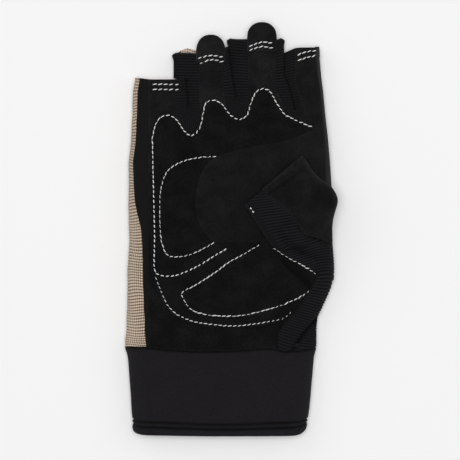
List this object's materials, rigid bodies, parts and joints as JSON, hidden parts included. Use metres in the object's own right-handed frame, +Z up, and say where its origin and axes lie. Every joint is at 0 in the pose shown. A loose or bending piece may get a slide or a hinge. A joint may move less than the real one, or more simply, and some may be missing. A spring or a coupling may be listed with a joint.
{
  "type": "climbing glove",
  "caption": "Fingerless climbing glove for the right hand, palm up: suede palm, rib-knit back and gussets, thumb folded over the palm, pull tabs and an elastic wrist band.",
  "frame": {"origin": "under the middle of the glove's box, on the surface that it lies on, back of the hand down", "axes": "+X from the little finger's side to the thumb's side, +Y to the fingertips, +Z up out of the palm"},
  "size_m": [0.1068, 0.2071, 0.0324],
  "materials": {
    "suede": "matte black microsuede, fine short nap",
    "overlay_suede": "matte black padded microsuede with white lock stitching",
    "smooth_suede": "smooth black synthetic leather, slight sheen",
    "black_knit": "matte black rib knit",
    "tan_knit": "matte tan rib knit",
    "elastic": "matte charcoal stretch band"
  },
  "bodies": {
    "root": {"palm_panel": "suede", "back_panel": "tan_knit", "outer_side_panel": "black_knit", "index_side_panel": "black_knit", "wrist_gusset": "black_knit", "gusset_little_ring": "black_knit", "gusset_ring_middle": "black_knit", "gusset_middle_index": "black_knit", "palm_overlay": "overlay_suede", "outer_pad": "overlay_suede", "heel_pad": "overlay_suede", "web_patch": "smooth_suede", "ring_pull_tab": "suede", "middle_pull_tab": "suede", "thumb_front": "suede", "thumb_back": "suede", "thumb_gusset": "black_knit", "cuff_band": "elastic", "cuff_binding": "elastic"}
  },
  "joints": []
}
